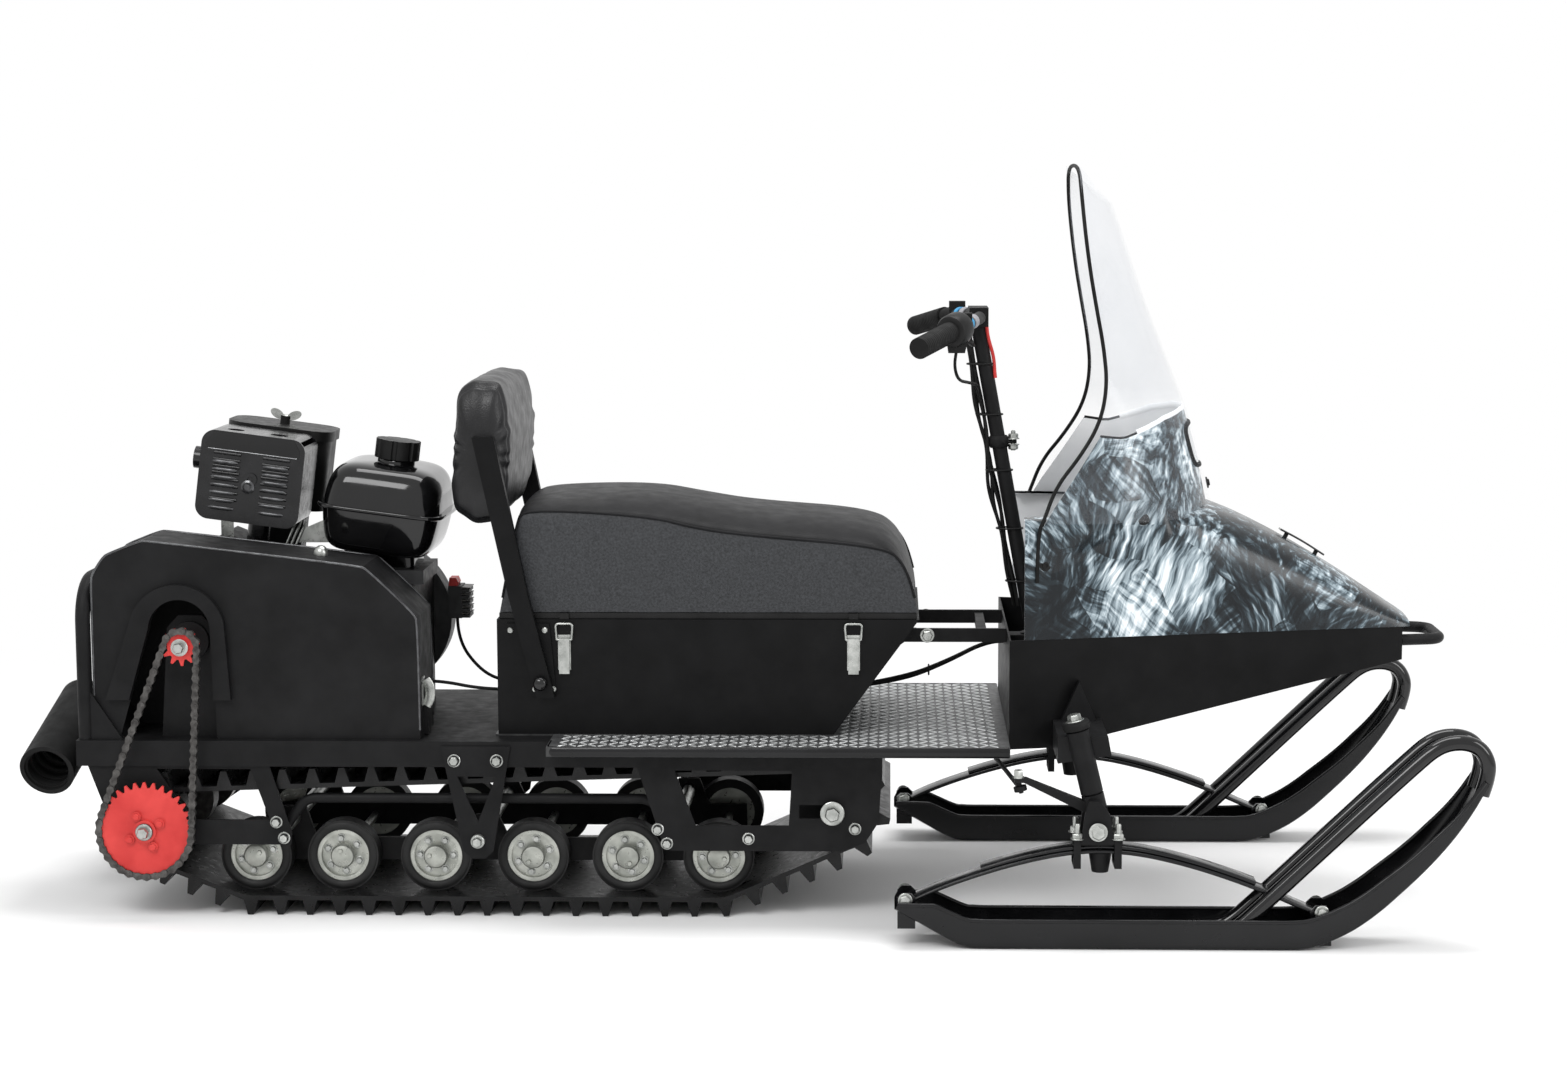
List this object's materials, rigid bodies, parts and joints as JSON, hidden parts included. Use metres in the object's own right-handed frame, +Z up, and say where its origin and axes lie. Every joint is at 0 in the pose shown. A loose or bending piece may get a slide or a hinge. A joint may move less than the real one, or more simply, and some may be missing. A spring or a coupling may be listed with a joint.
{
  "type": "snowmobile",
  "caption": "Small utility snowmobile with a rear engine, rubber track, boxed seat with backrest, printed hood, tall clear windshield and steered skis.",
  "frame": {"origin": "on the floor under the middle of the machine", "axes": "+X forward to the skis, +Y to the rider's left, +Z up"},
  "size_m": [2.5357, 0.91, 1.3001],
  "materials": {
    "black_steel": "satin",
    "checker_plate": "satin",
    "bright_steel": "satin",
    "rim_paint": "satin",
    "red_paint": "satin",
    "engine_cast": "matte",
    "muffler_steel": "satin",
    "black_rubber": "matte",
    "black_plastic": "matte",
    "hood_print": "gloss",
    "lamp_glass": "gloss",
    "clear_sheet": "gloss",
    "seat_vinyl": "satin"
  },
  "bodies": {
    "chassis": {"air_cleaner": "black_plastic", "backrest_pad": "seat_vinyl", "backrest_posts": "black_steel", "bearing_plate": "black_steel", "box_latches": "bright_steel", "cable_front_left": "black_rubber", "cable_front_right": "black_rubber", "cable_rear_lower": "black_rubber", "cable_rear_upper": "black_rubber", "column_bracket": "black_steel", "coupling_fork": "black_steel", "drive_axle": "bright_steel", "drive_chain": "bright_steel", "drive_cover": "black_steel", "drive_sprocket": "red_paint", "driven_sprocket": "red_paint", "engine_block": "engine_cast", "front_bumper": "black_steel", "front_idler": "black_rubber", "fuel_cap": "black_plastic", "fuel_tank": "black_steel", "hanger_brackets": "black_steel", "headlamp": "lamp_glass", "hood": "hood_print", "muffler": "muffler_steel", "nose_tub": "black_steel", "rear_hoop": "black_steel", "rear_tube": "black_rubber", "regulator": "engine_cast", "roller_axles": "bright_steel", "running_board": "checker_plate", "seat_box": "black_steel", "side_frame_left": "black_steel", "side_frame_right": "black_steel", "slide_rails": "black_steel", "spindle_housings": "black_steel", "track": "black_rubber", "tunnel": "black_steel", "wheel_rims": "rim_paint", "wheel_tyres": "black_rubber", "windshield": "clear_sheet", "windshield_trim": "black_rubber"},
    "steering": {"steering_column": "black_steel", "handlebar": "black_steel", "grips": "black_rubber"},
    "ski_right_body": {"spindle_right": "black_steel", "leaf_spring_right": "black_steel", "saddle_right": "black_steel", "ski_right": "black_steel"},
    "ski_left_body": {"spindle_left": "black_steel", "leaf_spring_left": "black_steel", "saddle_left": "black_steel", "ski_left": "black_steel"},
    "tie_right_body": {"tie_rod_right": "black_steel"},
    "tie_left_body": {"tie_rod_left": "black_steel"},
    "seat_body": {"seat_cushion": "seat_vinyl", "seat_base": "black_plastic"}
  },
  "joints": [
    {"name": "steer", "type": "hinge", "parent": "chassis", "child": "steering", "pos_m": [0.566, 0, 0.279], "axis": [-0.1788, 0, 0.9839], "range_deg": [-32, 32]},
    {"name": "ski_steer_right", "type": "hinge", "parent": "chassis", "child": "ski_right_body", "pos_m": [0.622, -0.405, 0.223], "axis": [-0.2351, 0, 0.972], "range_deg": [-32, 32]},
    {"name": "ski_steer_left", "type": "hinge", "parent": "chassis", "child": "ski_left_body", "pos_m": [0.622, 0.405, 0.223], "axis": [-0.2351, 0, 0.972], "range_deg": [-32, 32]},
    {"name": "tie_right", "type": "hinge", "parent": "ski_right_body", "child": "tie_right_body", "pos_m": [0.49159, -0.405, 0.273], "axis": [-0.2351, 0, 0.972], "range_deg": [-32, 32]},
    {"name": "tie_left", "type": "hinge", "parent": "ski_left_body", "child": "tie_left_body", "pos_m": [0.49159, 0.405, 0.273], "axis": [-0.2351, 0, 0.972], "range_deg": [-32, 32]},
    {"name": "seat_lift", "type": "slide", "parent": "chassis", "child": "seat_body", "axis": [0.3, 0, 0.9539], "range_m": [0, 0.3]}
  ],
  "couplings": [
    {"joint": "ski_steer_right", "follows": "steer", "ratio": 1},
    {"joint": "ski_steer_left", "follows": "steer", "ratio": 1},
    {"joint": "tie_right", "follows": "steer", "ratio": -1},
    {"joint": "tie_left", "follows": "steer", "ratio": -1}
  ]
}
